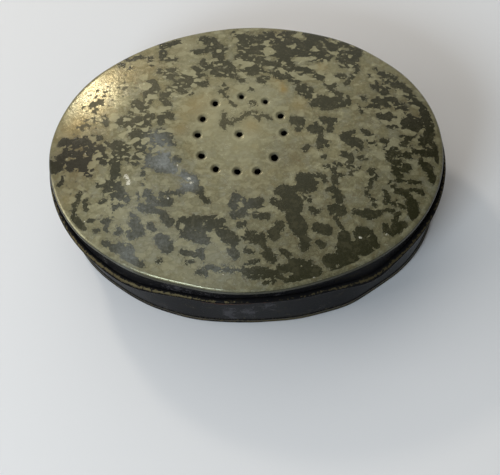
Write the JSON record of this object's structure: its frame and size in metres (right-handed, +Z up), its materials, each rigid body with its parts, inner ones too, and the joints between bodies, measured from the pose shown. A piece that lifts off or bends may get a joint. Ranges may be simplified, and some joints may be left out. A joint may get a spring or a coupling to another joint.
{
  "type": "pounce pot",
  "caption": "Shallow oval tinplate pounce pot in worn black japan, with a crowned lift-off lid punched with a ring of sprinkling holes.",
  "frame": {"origin": "on the resting face, under the middle of the oval", "axes": "+X along the oval's length, +Y towards the back, where the seams are, +Z up out of the lid"},
  "size_m": [0.0908, 0.0688, 0.0261],
  "materials": {
    "japanned_tin": "gloss, worn",
    "worn_tin": "patchy worn gloss",
    "solder": "dull"
  },
  "bodies": {
    "pot": {"body_wall": "japanned_tin", "body_seam_solder": "solder", "bottom_plate": "japanned_tin", "bottom_solder": "solder"},
    "lid": {"lid_panel": "worn_tin", "lid_skirt": "japanned_tin", "lid_seam_solder": "solder", "lid_solder": "solder"}
  },
  "joints": [
    {"name": "lid_lift", "type": "slide", "parent": "pot", "child": "lid", "axis": [0, 0, 1], "range_m": [0, 0.025]}
  ]
}
